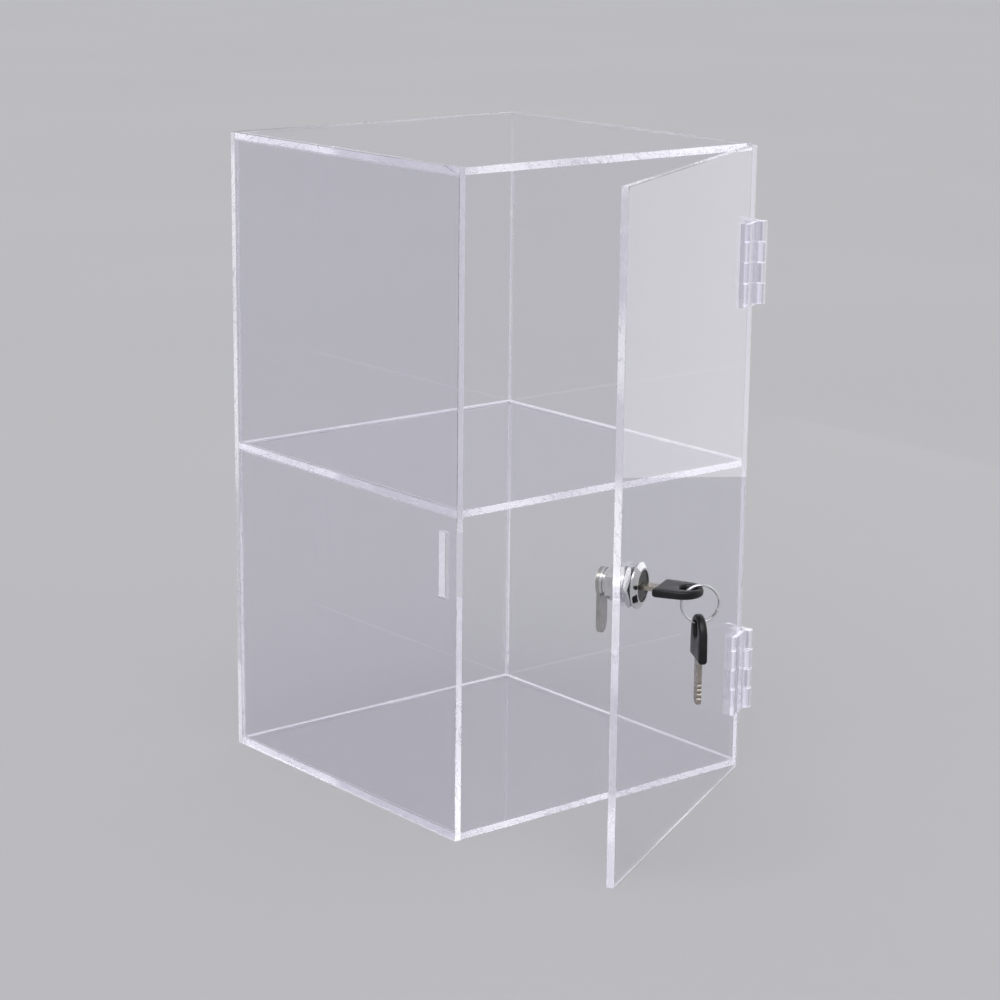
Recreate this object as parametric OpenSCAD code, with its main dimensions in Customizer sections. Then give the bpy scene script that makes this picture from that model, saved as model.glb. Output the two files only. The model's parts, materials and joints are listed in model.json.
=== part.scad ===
// Clear acrylic display case on two levels, with a hinged front door and a cam lock.
// The origin is the middle of the case's footprint, on the surface that it stands on.
// +Z is up, -Y is the door side, and the door stands ajar with the key in its lock.

/* [Case] */
// Width of the case over its side walls
case_w = 200; // [150:1:300]
// Depth of the case, from the back wall to the front edges
case_d = 200; // [150:1:300]
// Height of the case
case_h = 350; // [300:1:500]
// Thickness of the acrylic sheet of the case
sheet_t = 4; // [3:0.5:5]
// Height of the middle of the shelf
shelf_z = 175; // [172:1:200]

/* [Door] */
// Thickness of the door's sheet
door_t = 4; // [3:0.5:5]
// Gap between the door's edges and the case's bottom and top levels
door_end_gap = 0.5; // [0:0.1:2]
// Gap between the closed door and the case's front edges
door_gap = 0.3; // [0.2:0.05:0.5]
// How far the door's hinged edge lies in from the case's side
door_side_inset = 0.5; // [0.3:0.1:1]
// Angle at which the door stands ajar
door_ajar = 28; // [0:1:90]

/* [Hinges] */
// Height of the middle of the lower hinge
lower_hinge_z = 58; // [40:1:80]
// Distance of the middle of the upper hinge down from the top of the case
upper_hinge_drop = 63.5; // [40:0.5:90]
// Length of each hinge along its pin
hinge_len = 45; // [30:1:60]
// Reach of each leaf from the pin's axis
leaf_reach = 19.2; // [14:0.2:30]
// Thickness of a leaf
leaf_t = 2.5; // [2:0.1:3]
// Outer diameter of the knuckles
knuckle_d = 6.2; // [5.8:0.1:6.6]
// Distance of the pin's axis out from the case's side
pin_out = 1.6; // [1.4:0.1:2.2]
// Gap between a leaf and the other leaf's knuckles
leaf_gap = 0.35; // [0.3:0.05:0.6]
// Number of knuckles on each hinge
knuckle_n = 4; // [2:1:6]
// Diameter of the hinge pin
hinge_pin_d = 2.6; // [2:0.1:3]
// Gap between one knuckle and the next
knuckle_gap = 0.3; // [0.2:0.05:0.6]
// Chamfer along the outer edges of each leaf
leaf_chamfer = 0.6; // [0.2:0.1:0.9]

/* [Lock] */
// Height of the lock's axis
lock_z = 154; // [130:1:156]
// Distance from the lock's axis to the door's free edge
lock_edge = 13.5; // [13.4:0.1:20]
// Diameter of the lock's threaded barrel
barrel_d = 13.6; // [13.4:0.1:14.4]
// How far the barrel reaches behind the door
barrel_back = 8; // [7.8:0.1:10]
// Diameter of the turning plug
plug_d = 9.4; // [9.2:0.1:9.8]
// Diameter of the plug's round face
plug_face_d = 15.6; // [14:0.1:16]
// Thickness of the plug's round face
plug_face_t = 1; // [0.8:0.1:1.4]
// Depth of the plug's face below the rim of the head
plug_recess = 0.5; // [0.3:0.1:1]
// Diameter of the lock's round head
head_d = 23.2; // [22:0.1:26]
// Height of the head's upright side
head_side_t = 0.8; // [0.5:0.1:2]
// Height of the head's bevel
head_bevel_t = 1.8; // [1.2:0.1:3]
// Diameter of the head's front rim
head_rim_d = 18; // [17.6:0.1:19]
// Height of the round neck under the head
neck_t = 1; // [0.5:0.1:2]
// Diameter of the round neck
neck_d = 17.5; // [17:0.5:19]
// Width of the front nut across its flats
front_nut_flats = 20; // [19:0.1:21]
// Thickness of the front nut
front_nut_t = 3.4; // [2.4:0.1:4]
// Height of the chamfers on the front nut's corners
front_nut_chamfer = 0.9; // [0.5:0.1:1.1]
// How far the chamfers' rims lie inside the front nut's flats
front_nut_land = 0.5; // [0.3:0.1:1]
// Width of the clamping nut across its flats
nut_flats = 16.4; // [16:0.1:16.6]
// Thickness of the clamping nut
nut_t = 5.2; // [3:0.1:5.6]
// Outer diameter of the spring washer under the nut
nut_washer_d = 16; // [15:0.1:16.4]
// Thickness of the spring washer under the nut
nut_washer_t = 0.8; // [0.5:0.1:1.2]

/* [Cam] */
// Length of the cam from the lock's axis to its tip
cam_len = 26; // [24:0.5:27]
// Width of the cam's arm
cam_w = 11; // [9:0.5:11.5]
// Diameter of the cam's round head
cam_head_d = 14.6; // [13:0.2:15]
// Thickness of the cam
cam_t = 1.8; // [1.5:0.1:2]
// Thickness of the stop washer in front of the cam
stop_t = 1.3; // [1:0.1:1.5]
// Side of the plug's square tang
tang_w = 6; // [5:0.1:6.5]
// Thickness of the washer under the cam screw's head
screw_washer_t = 0.5; // [0.4:0.1:0.8]
// Diameter of the washer under the cam screw's head
screw_washer_d = 9; // [8:0.2:12]
// Diameter of the cam screw's head
screw_head_d = 7.4; // [6.5:0.1:8]
// Thickness of the cam screw's head
screw_head_t = 1; // [0.8:0.1:2]
// Diameter of the cam screw's shank
screw_d = 3; // [2.5:0.1:3.5]
// Depth of the cam screw's thread in the plug
screw_depth = 3; // [2:0.1:3.2]
// Gap on each side of the cam in its slot in the wall
cam_slot_gap = 0.5; // [0.3:0.1:1]
// Width of the cam's slot in the wall
slot_w = 6; // [4.5:0.1:8]
// Clearance of the slot below the cam's swing
slot_below = 1; // [0.5:0.1:3]
// Clearance of the slot above the cam's arm
slot_above = 4.5; // [1:0.1:6]

/* [Key] */
// Length of the key's bow
bow_len = 22.5; // [22:0.5:30]
// Width of the key's bow
bow_w = 21; // [20:0.5:24]
// Thickness of the key's bow
bow_t = 4.2; // [4:0.1:5]
// Chamfer along the edges of the bow
bow_chamfer = 0.9; // [0.5:0.1:1.2]
// Diameter of the hole in the bow
bow_hole_d = 8.8; // [8.6:0.1:10]
// Width of the strap between the hole and the bow's end
bow_strap = 2.8; // [2.6:0.1:3.4]
// Length of the key's blade
blade_len = 22.6; // [20:0.2:23]
// Width of the key's blade
blade_w = 7.4; // [7:0.1:7.6]
// Thickness of the key's blade
blade_t = 2.2; // [1.8:0.1:2.4]
// How far the bow's shoulder stands out from the door
key_stand = 14.8; // [13:0.1:16]
// Number of tumbler pins, and of dimples in the blade
tumbler_n = 5; // [3:1:5]
// Pitch of the tumbler pins
tumbler_pitch = 2.3; // [2.1:0.1:2.4]
// Distance from the bow's shoulder to the first tumbler pin
tumbler_start = 12; // [10:0.1:12.4]
// Diameter of the tumbler pins
tumbler_d = 1.6; // [1.2:0.1:1.8]
// Depth of the dimples in the blade
dimple_depth = 0.5; // [0.3:0.1:0.7]
// Length of the sprung driver pins
driver_len = 0.6; // [0.5:0.05:0.7]
// Diameter of the driver springs' wire
spring_wire = 0.24; // [0.2:0.01:0.28]
// Turns of each driver spring
spring_turns = 2; // [1:1:3]

/* [Key ring] */
// Mean radius of the split ring
ring_r = 9.3; // [9:0.05:10]
// Diameter of the ring's wire
ring_wire = 1.1; // [0.8:0.1:1.3]
// Angle around the bow's hole from the key's line to where the ring hangs
ring_turn = 31; // [0:1:40]

/* [Clearances] */
// Radial clearance of turning fits
turn_fit = 0.05; // [0.02:0.01:0.1]
// Clearance of sliding and loose fits
loose_fit = 0.2; // [0.1:0.05:0.3]
// Gap between the hanging ring and the key that carries it
hang_gap = 0.15; // [0.1:0.05:0.3]
// Gap between the ring's bottom and the spare key that it carries
spare_gap = 0.5; // [0.5:0.05:0.8]
// Gap between the faces of turning pieces
face_gap = 0.1; // [0.05:0.05:0.2]

/* [Hidden] */
$fn = 64;
clear_acrylic = [0.80, 0.80, 0.90, 0.35];
chrome = [0.78, 0.78, 0.80];
dark_metal = [0.12, 0.12, 0.13];
nickel = [0.66, 0.64, 0.60];
black_plastic = [0.03, 0.03, 0.035];

// Length by which the parts of one solid run into each other
join = 0.5;

// Case and door planes
half_w = case_w / 2;
half_d = case_d / 2;
inner_w = case_w - 2 * sheet_t;
side_d = case_d - sheet_t;
door_back_y = -half_d - door_gap;
door_face_y = door_back_y - door_t;
door_hinge_x = half_w - door_side_inset;
door_w = case_w;
door_free_x = door_hinge_x - door_w;
door_h = case_h - 2 * door_end_gap;
upper_hinge_z = case_h - upper_hinge_drop;

// Hinge axis, in line with the wall leaf and clear of the door's face
knuckle_r = knuckle_d / 2;
pin_x = half_w + pin_out;
pin_y = door_face_y - knuckle_r;
knuckle_len = hinge_len / knuckle_n;
leaf_relief = knuckle_r + leaf_gap;

// Lock stack, measured outwards from the door's face along the lock's axis
lock_x = door_free_x + lock_edge;
neck_end = front_nut_t + neck_t;
side_end = neck_end + head_side_t;
head_end = side_end + head_bevel_t;
plug_face = head_end - plug_recess;
barrel_end = -door_t - barrel_back;
stop_front = barrel_end - face_gap;
cam_front = stop_front - stop_t;
cam_back = cam_front - cam_t;
washer_back = cam_back - screw_washer_t;
tang_end = cam_back + loose_fit;
screw_tip = barrel_end + screw_depth;
blade_stop_gap = 0.8;
blade_tip = key_stand - blade_len;
keyway_end = blade_tip - blade_stop_gap;
keyway_w = blade_w + 2 * loose_fit;
keyway_h = blade_t + 2 * loose_fit;
plug_bore_d = plug_d + 2 * turn_fit;
barrel_hole_d = barrel_d + 2 * loose_fit;
cam_tip_r = cam_w / 2;
cam_tip_reach = cam_len - cam_tip_r;

// Slot in the left wall, around the cam of the closed door
cam_front_y = door_face_y - cam_front;
slot_front_y = cam_front_y - cam_slot_gap;
wall_reach = lock_x + half_w - sheet_t;
slot_low_z = lock_z - sqrt(pow(cam_tip_reach, 2) - pow(wall_reach, 2)) - cam_tip_r - slot_below;
slot_high_z = lock_z + cam_w / 2 + slot_above;

// Tumblers, held in radial chambers of the plug and of the housing
chamber_wall = 0.5;
chamber_d = tumbler_d + 2 * turn_fit;
chamber_end = barrel_d / 2 - chamber_wall;
pin_foot = blade_t / 2 + turn_fit;
pin_top = plug_d / 2 - face_gap;
driver_foot = plug_bore_d / 2 + face_gap;

// Key and ring places, measured outwards from the bow's shoulder
blade_root = 2.5;
bow_round_z = bow_len - bow_w / 2;
bow_hole_z = bow_len - bow_strap - bow_hole_d / 2;
hole_offset = bow_hole_z - bow_round_z;
strap_out_r = sqrt(pow(bow_w / 2, 2) - pow(hole_offset * sin(ring_turn), 2))
    - hole_offset * cos(ring_turn);
strap_mid_r = (bow_hole_d / 2 + strap_out_r) / 2;
strap_half_w = strap_out_r - strap_mid_r;
strap_corner = norm([strap_half_w - bow_chamfer, bow_t / 2]);
ring_turn_z = 0.45 * ring_wire;
ring_inner_r = ring_r - ring_wire / 2;
ring_drop = ring_inner_r - strap_corner - hang_gap;
spare_drop = ring_inner_r - spare_gap;

// ---- Places ----

// Turns the closed door's pieces to the angle at which it stands ajar
module on_door() {
    translate([pin_x, pin_y, 0]) rotate([0, 0, door_ajar]) translate([-pin_x, -pin_y, 0])
        children();
}

// Lock axis as local Z, pointing out of the door's face, with local Y up
module on_lock() {
    on_door() translate([lock_x, door_face_y, lock_z]) rotate([90, 0, 0])
        children();
}

// The key's own place: its shoulder is the origin, and local Z runs to the bow's end
module on_key() {
    on_lock() translate([0, 0, key_stand]) children();
}

// Ring plane: local X runs along the ring, local Y is up, local Z is the ring's axis
module on_ring() {
    on_key() translate([0, 0, bow_hole_z]) rotate([0, ring_turn, 0])
        translate([0, 0, strap_mid_r]) rotate([0, -90, 0])
            translate([0, -ring_drop, 0]) children();
}

// The spare key hangs from the bottom of the ring, with its bow upwards
module on_spare() {
    on_ring() translate([0, -spare_drop - bow_len + bow_strap, 0])
        rotate([0, 90, 0]) rotate([-90, 0, 0]) children();
}

// ---- Shapes used more than once ----

module sheet(size, low_corner) {
    color(clear_acrylic) translate(low_corner) cube(size);
}

module tube(outer_d, inner_d, low, high) {
    translate([0, 0, low]) difference() {
        cylinder(d = outer_d, h = high - low);
        translate([0, 0, -1]) cylinder(d = inner_d, h = high - low + 2);
    }
}

module rod(d, low, high) {
    translate([0, 0, low]) cylinder(d = d, h = high - low);
}

module hexagon(flats, low, high) {
    translate([0, 0, low]) rotate([0, 0, 30])
        cylinder(d = flats / cos(30), h = high - low, $fn = 6);
}

// Leaf with its knuckles: the pin is local Z, the leaf runs along -X and its back lies at back_y.
// first is 0 or 1, the knuckle at the bottom that the leaf starts with.
module hinge_leaf(back_y, first) {
    front_y = back_y - leaf_t;
    own = [for (i = [first : 2 : knuckle_n - 1]) i];
    difference() {
        union() {
            linear_extrude(height = hinge_len) polygon([
                [-leaf_reach, back_y],
                [-leaf_reach, front_y + leaf_chamfer],
                [-leaf_reach + leaf_chamfer, front_y],
                [-leaf_relief, front_y],
                [-leaf_relief, back_y]
            ]);
            for (i = own) translate([0, 0, i * knuckle_len + knuckle_gap / 2]) {
                cylinder(d = knuckle_d, h = knuckle_len - knuckle_gap);
                translate([-leaf_relief - join, front_y, 0])
                    cube([leaf_relief + join, leaf_t, knuckle_len - knuckle_gap]);
            }
        }
        translate([0, 0, -1]) cylinder(d = hinge_pin_d + 2 * turn_fit, h = hinge_len + 2);
    }
}

module wall_leaf(mid_z) {
    color(clear_acrylic) translate([pin_x, pin_y, mid_z - hinge_len / 2])
        mirror([1, 0, 0]) rotate([0, 0, -90]) mirror([0, 1, 0])
            hinge_leaf(pin_x - half_w, 1);
}

module door_leaf(mid_z) {
    color(clear_acrylic) on_door() translate([pin_x, pin_y, mid_z - hinge_len / 2])
        hinge_leaf(door_face_y - pin_y, 0);
}

module hinge_pin(mid_z) {
    color(clear_acrylic) translate([pin_x, pin_y, mid_z - hinge_len / 2 + knuckle_gap / 2])
        cylinder(d = hinge_pin_d, h = hinge_len - knuckle_gap);
}

// Bow of a key, lying in local X-Z with its shoulder at the origin
module bow() {
    half_t = bow_t / 2;
    flat_half = half_t - bow_chamfer;
    color(black_plastic) difference() {
        union() {
            linear_extrude(height = bow_round_z) polygon([
                [-bow_w / 2, -flat_half], [-bow_w / 2 + bow_chamfer, -half_t],
                [bow_w / 2 - bow_chamfer, -half_t], [bow_w / 2, -flat_half],
                [bow_w / 2, flat_half], [bow_w / 2 - bow_chamfer, half_t],
                [-bow_w / 2 + bow_chamfer, half_t], [-bow_w / 2, flat_half]
            ]);
            translate([0, 0, bow_round_z]) rotate([90, 0, 0]) chamfered_disc(bow_w / 2);
        }
        translate([0, 0, bow_hole_z]) rotate([90, 0, 0]) hole_with_chamfers();
        translate([-blade_w / 2, -blade_t / 2, -1]) cube([blade_w, blade_t, blade_root + 1]);
    }
}

// Round disc of the bow's thickness, with both rims chamfered
module chamfered_disc(r) {
    half_t = bow_t / 2;
    rotate_extrude() polygon([
        [0, -half_t], [r - bow_chamfer, -half_t], [r, -half_t + bow_chamfer],
        [r, half_t - bow_chamfer], [r - bow_chamfer, half_t], [0, half_t]
    ]);
}

module hole_with_chamfers() {
    half_t = bow_t / 2;
    r = bow_hole_d / 2;
    rotate_extrude() polygon([
        [0, -half_t - 1], [r + bow_chamfer + 1, -half_t - 1], [r, -half_t + bow_chamfer],
        [r, half_t - bow_chamfer], [r + bow_chamfer + 1, half_t + 1], [0, half_t + 1]
    ]);
}

// Blade of a key, from its root inside the bow to its pointed tip
module blade() {
    point = 1.6;
    color(nickel) difference() {
        translate([0, blade_t / 2, 0]) rotate([90, 0, 0]) linear_extrude(height = blade_t)
            polygon([
                [-blade_w / 2, blade_root], [-blade_w / 2, -blade_len + point],
                [-blade_w / 2 + point, -blade_len], [blade_w / 2 - point, -blade_len],
                [blade_w / 2, -blade_len + point], [blade_w / 2, blade_root]
            ]);
        for (side = [-1, 1], i = [0 : tumbler_n - 1])
            translate([0, side * blade_t / 2, -tumbler_start - i * tumbler_pitch])
                rotate([side * 90, 0, 0]) translate([0, 0, -1])
                    dimple();
    }
}

// Cone that cuts one dimple as wide as a tumbler pin, from 1 mm outside the blade's face
module dimple() {
    tip_r = 0.2;
    slope = (tumbler_d / 2 - tip_r) / dimple_depth;
    cylinder(r1 = tumbler_d / 2 + slope, r2 = tip_r, h = 1 + dimple_depth);
}

// ---- Case ----

module back_wall() {
    sheet([case_w, sheet_t, case_h], [-half_w, half_d - sheet_t, 0]);
}

module left_wall() {
    color(clear_acrylic) difference() {
        translate([-half_w, -half_d, 0]) cube([sheet_t, side_d, case_h]);
        translate([-half_w - 1, slot_front_y, slot_low_z])
            cube([sheet_t + 2, slot_w, slot_high_z - slot_low_z]);
    }
}

module right_wall() {
    sheet([sheet_t, side_d, case_h], [half_w - sheet_t, -half_d, 0]);
}

module top_panel() {
    sheet([inner_w, side_d, sheet_t], [-inner_w / 2, -half_d, case_h - sheet_t]);
}

module bottom_panel() {
    sheet([inner_w, side_d, sheet_t], [-inner_w / 2, -half_d, 0]);
}

module shelf() {
    sheet([inner_w, side_d, sheet_t], [-inner_w / 2, -half_d, shelf_z - sheet_t / 2]);
}

module lower_wall_leaf() { wall_leaf(lower_hinge_z); }
module upper_wall_leaf() { wall_leaf(upper_hinge_z); }
module lower_hinge_pin() { hinge_pin(lower_hinge_z); }
module upper_hinge_pin() { hinge_pin(upper_hinge_z); }

// ---- Door ----

module lower_door_leaf() { door_leaf(lower_hinge_z); }
module upper_door_leaf() { door_leaf(upper_hinge_z); }

module door_panel() {
    color(clear_acrylic) on_door() difference() {
        translate([door_free_x, door_face_y, door_end_gap]) cube([door_w, door_t, door_h]);
        translate([lock_x, door_face_y - 1, lock_z]) rotate([-90, 0, 0])
            cylinder(d = barrel_hole_d, h = door_t + 2);
    }
}

// ---- Lock, fixed to the door ----

module lock_housing() {
    color(chrome) on_lock() difference() {
        union() {
            rod(barrel_d, barrel_end, neck_end + join);
            rod(neck_d, front_nut_t, neck_end + join);
            rod(head_d, neck_end, side_end);
            translate([0, 0, side_end])
                cylinder(d1 = head_d, d2 = head_rim_d, h = head_bevel_t);
        }
        rod(plug_bore_d, barrel_end - 1, head_end + 1);
        rod(plug_face_d + 2 * loose_fit, plug_face - plug_face_t - face_gap, head_end + 1);
        driver_chambers();
    }
}

// Blind chambers for the driver pins, bored sideways from the plug's bore
module driver_chambers() {
    for (i = [0 : tumbler_n - 1]) translate([0, 0, tumbler_z(i)]) rotate([0, 90, 0])
        rod(chamber_d, plug_bore_d / 2 - join, chamber_end);
}

function tumbler_z(i) = key_stand - tumbler_start - i * tumbler_pitch;

// Nut between the head and the door, standing on a flat: two cones that meet at half its
// thickness chamfer its corners on both sides
module front_nut() {
    face_d = front_nut_flats - 2 * front_nut_land;
    half_t = front_nut_t / 2;
    slope = (front_nut_flats / cos(30) - face_d) / front_nut_chamfer;
    mid_d = face_d + slope * half_t;
    color(chrome) on_lock() rotate([0, 0, 30]) difference() {
        intersection() {
            hexagon(front_nut_flats, 0, front_nut_t);
            union() {
                cylinder(d1 = face_d, d2 = mid_d, h = half_t);
                translate([0, 0, half_t]) cylinder(d1 = mid_d, d2 = face_d, h = half_t);
            }
        }
        rod(barrel_d + loose_fit, -1, front_nut_t + 1);
    }
}

module nut_washer() {
    color(chrome) on_lock()
        tube(nut_washer_d, barrel_d + loose_fit, -door_t - nut_washer_t, -door_t);
}

module clamping_nut() {
    front = -door_t - nut_washer_t;
    color(chrome) on_lock() difference() {
        hexagon(nut_flats, front - nut_t, front);
        rod(barrel_d + loose_fit, front - nut_t - 1, front + 1);
    }
}

module driver_pins() {
    color(nickel) on_lock() for (i = [0 : tumbler_n - 1])
        translate([0, 0, tumbler_z(i)]) rotate([0, 90, 0])
            rod(tumbler_d, driver_foot, driver_foot + driver_len);
}

module driver_springs() {
    low = driver_foot + driver_len + spring_wire / 2;
    high = chamber_end - spring_wire / 2;
    color(chrome) on_lock() for (i = [0 : tumbler_n - 1])
        translate([0, 0, tumbler_z(i)]) rotate([0, 90, 0]) translate([0, 0, low])
            coil(tumbler_d / 2 - spring_wire / 2, high - low);
}

// Coil of round wire about local Z, from 0 to height h
module coil(r, h) {
    sides = 6;
    steps = 12 * spring_turns;
    lean = atan(h / (2 * PI * r * spring_turns));
    function ring_point(k, j) = let (
        turn = 360 * spring_turns * k / steps,
        a = 360 * j / sides,
        out = spring_wire / 2 * cos(a),
        up = spring_wire / 2 * sin(a)
    ) [
        (r + out) * cos(turn) + up * sin(lean) * sin(turn),
        (r + out) * sin(turn) - up * sin(lean) * cos(turn),
        h * k / steps + up * cos(lean)
    ];
    points = [for (k = [0 : steps], j = [0 : sides - 1]) ring_point(k, j)];
    walls = [for (k = [0 : steps - 1], j = [0 : sides - 1]) let (n = (j + 1) % sides)
        [k * sides + j, (k + 1) * sides + j, (k + 1) * sides + n, k * sides + n]];
    start = [for (j = [0 : sides - 1]) j];
    end = [for (j = [sides - 1 : -1 : 0]) steps * sides + j];
    polyhedron(points, concat(walls, [start, end]), convexity = 6);
}

// ---- Plug and cam, turned by the key ----

module lock_plug() {
    color(dark_metal) on_lock() difference() {
        union() {
            rod(plug_face_d, plug_face - plug_face_t, plug_face);
            rod(plug_d, barrel_end, plug_face);
            translate([-tang_w / 2, -tang_w / 2, tang_end])
                cube([tang_w, tang_w, barrel_end - tang_end + join]);
        }
        translate([-keyway_w / 2, -keyway_h / 2, keyway_end])
            cube([keyway_w, keyway_h, plug_face - keyway_end + 1]);
        for (i = [0 : tumbler_n - 1]) translate([0, 0, tumbler_z(i)]) rotate([-90, 0, 0])
            rod(chamber_d, 0, plug_d / 2 + 1);
        rod(screw_d, tang_end - 1, screw_tip + loose_fit);
    }
}

module key_pins() {
    cone_h = 0.4;
    color(nickel) on_lock() for (i = [0 : tumbler_n - 1])
        translate([0, 0, tumbler_z(i)]) rotate([-90, 0, 0]) {
            translate([0, 0, pin_foot]) cylinder(d1 = tumbler_d / 2, d2 = tumbler_d, h = cone_h);
            rod(tumbler_d, pin_foot + cone_h, pin_top);
        }
}

module square_tube(outer_d, low, high) {
    hole_w = tang_w + loose_fit;
    difference() {
        rod(outer_d, low, high);
        translate([-hole_w / 2, -hole_w / 2, low - 1]) cube([hole_w, hole_w, high - low + 2]);
    }
}

module stop_washer() {
    color(chrome) on_lock() square_tube(cam_head_d, cam_front, stop_front);
}

// Cam that points down: its round head turns on the tang, and its arm has a round tip
module lock_cam() {
    hole_w = tang_w + loose_fit;
    color(chrome) on_lock() difference() {
        union() {
            rod(cam_head_d, cam_back, cam_front);
            translate([0, -cam_tip_reach, 0]) rod(cam_w, cam_back, cam_front);
            translate([-cam_w / 2, -cam_tip_reach, cam_back]) cube([cam_w, cam_tip_reach, cam_t]);
        }
        translate([-hole_w / 2, -hole_w / 2, cam_back - 1]) cube([hole_w, hole_w, cam_t + 2]);
    }
}

module screw_washer() {
    color(chrome) on_lock() tube(screw_washer_d, screw_d + loose_fit, washer_back, cam_back);
}

module cam_screw() {
    arm = 0.7 * screw_head_d;
    arm_w = 1;
    color(chrome) on_lock() difference() {
        union() {
            rod(screw_head_d, washer_back - screw_head_t, washer_back);
            rod(screw_d - 2 * turn_fit, washer_back, screw_tip);
        }
        translate([0, 0, washer_back - screw_head_t]) {
            cube([arm, arm_w, screw_head_t], center = true);
            cube([arm_w, arm, screw_head_t], center = true);
        }
    }
}

// ---- Keys and ring ----

module key_blade() { on_key() blade(); }
module key_bow() { on_key() bow(); }
module spare_blade() { on_spare() blade(); }
module spare_bow() { on_spare() bow(); }

module split_ring() {
    color(chrome) on_ring() for (side = [-1, 1]) translate([0, 0, side * ring_turn_z])
        rotate_extrude($fn = 96) translate([ring_r, 0]) circle(d = ring_wire, $fn = 24);
}

back_wall();
left_wall();
right_wall();
top_panel();
bottom_panel();
shelf();
lower_wall_leaf();
upper_wall_leaf();
lower_hinge_pin();
upper_hinge_pin();
lower_door_leaf();
upper_door_leaf();
door_panel();
lock_housing();
front_nut();
nut_washer();
clamping_nut();
driver_pins();
driver_springs();
lock_plug();
key_pins();
stop_washer();
lock_cam();
screw_washer();
cam_screw();
key_blade();
key_bow();
split_ring();
spare_blade();
spare_bow();
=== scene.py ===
"""Looks of a clear acrylic display case with a hinged door, a cam lock and two keys.

Lengths are in metres, +Z is up and -Y is the door side. Small sizes are written in
millimetres and multiplied by MM.
"""

import json
import logging
import math
from collections.abc import Iterable
from dataclasses import dataclass, field
from enum import Enum

import bmesh
import bpy
import numpy as np
from mathutils import Matrix, Vector


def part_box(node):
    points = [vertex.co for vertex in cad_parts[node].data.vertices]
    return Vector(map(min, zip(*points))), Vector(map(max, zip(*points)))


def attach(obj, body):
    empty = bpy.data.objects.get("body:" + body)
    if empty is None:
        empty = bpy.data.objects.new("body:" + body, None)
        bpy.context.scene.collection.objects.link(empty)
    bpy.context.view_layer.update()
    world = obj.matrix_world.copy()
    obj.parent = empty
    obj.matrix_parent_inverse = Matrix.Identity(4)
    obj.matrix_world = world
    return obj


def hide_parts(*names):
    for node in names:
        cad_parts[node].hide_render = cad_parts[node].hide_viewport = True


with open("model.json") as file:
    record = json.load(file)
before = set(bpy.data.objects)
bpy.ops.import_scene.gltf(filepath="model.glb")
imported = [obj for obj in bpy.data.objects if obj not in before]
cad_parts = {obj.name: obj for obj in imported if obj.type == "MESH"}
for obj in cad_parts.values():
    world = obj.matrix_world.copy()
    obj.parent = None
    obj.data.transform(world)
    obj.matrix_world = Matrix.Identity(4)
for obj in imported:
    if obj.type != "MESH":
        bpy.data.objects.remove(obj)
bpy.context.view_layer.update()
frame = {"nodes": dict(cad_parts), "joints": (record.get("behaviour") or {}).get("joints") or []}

MM = 0.001
UP = np.array([0.0, 0.0, 1.0])
NEAR_ZERO = 1e-9
NUDGE = 1e-6
ACRYLIC_IOR = 1.49
COLOUR_MIX_INPUTS = (0, 6, 7)
COLOUR_MIX_OUTPUT = 2
LOG = logging.getLogger("display_case")
Array = np.ndarray


class Axis(Enum):
    """Direction across a sheet of acrylic, from one broad face to the other."""

    ACROSS = (1.0, 0.0, 0.0)
    DEPTH = (0.0, 1.0, 0.0)
    HEIGHT = (0.0, 0.0, 1.0)


# ---- Node trees ----


@dataclass
class Tree:
    """Short way of writing a node tree."""

    tree: bpy.types.NodeTree

    def add(self, kind: str, sockets: dict | None = None, **settings: object) -> bpy.types.Node:
        """Adds a node.

        Args:
            kind: name of the node type.
            sockets: input name or number to its value, or to the output that feeds it.
            settings: the node's own settings.

        Returns:
            The new node.
        """
        node = self.tree.nodes.new(kind)
        for name, value in settings.items():
            setattr(node, name, value)
        given = sockets or {}
        self.feed([node.inputs[name] for name in given], given.values())
        return node

    def maths(self, operation: str, *values: object, clamp: bool = False) -> bpy.types.NodeSocket:
        """Adds a Math node and returns its output."""
        node = self.add("ShaderNodeMath", operation=operation, use_clamp=clamp)
        self.feed(node.inputs, values)
        return node.outputs[0]

    def vector(self, operation: str, *values: object, out: str = "Vector") -> bpy.types.NodeSocket:
        """Adds a Vector Math node and returns one of its outputs."""
        node = self.add("ShaderNodeVectorMath", operation=operation)
        self.feed(node.inputs, values)
        return node.outputs[out]

    def feed(self, slots: Iterable, values: Iterable) -> None:
        """Puts values or outputs into a node's inputs, in order."""
        for slot, value in zip(slots, values):
            if isinstance(value, bpy.types.NodeSocket):
                self.tree.links.new(value, slot)
            else:
                slot.default_value = value

    def total(self, *parts: bpy.types.NodeSocket) -> bpy.types.NodeSocket:
        """Adds up any number of outputs and returns their sum."""
        result = parts[0]
        for part in parts[1:]:
            result = self.maths("ADD", result, part)
        return result

    def blend(self, share: object, low: object, high: object) -> bpy.types.NodeSocket:
        """Adds a colour Mix node and returns its colour."""
        node = self.add("ShaderNodeMix", data_type="RGBA", clamp_factor=True)
        self.feed([node.inputs[number] for number in COLOUR_MIX_INPUTS], (share, low, high))
        return node.outputs[COLOUR_MIX_OUTPUT]

    def scaled(self, vector: object, factor: bpy.types.NodeSocket) -> bpy.types.NodeSocket:
        """Adds a Vector Math node that scales a vector and returns the result."""
        node = self.add("ShaderNodeVectorMath", {0: vector, "Scale": factor}, operation="SCALE")
        return node.outputs[0]

    def ramp(self, value: bpy.types.NodeSocket, low: float, high: float, to_low: float = 0.0,
             to_high: float = 1.0) -> bpy.types.NodeSocket:
        """Adds a Map Range node and returns its result."""
        node = self.add("ShaderNodeMapRange", {0: value, 1: low, 2: high, 3: to_low, 4: to_high},
                        clamp=True)
        return node.outputs[0]


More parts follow.
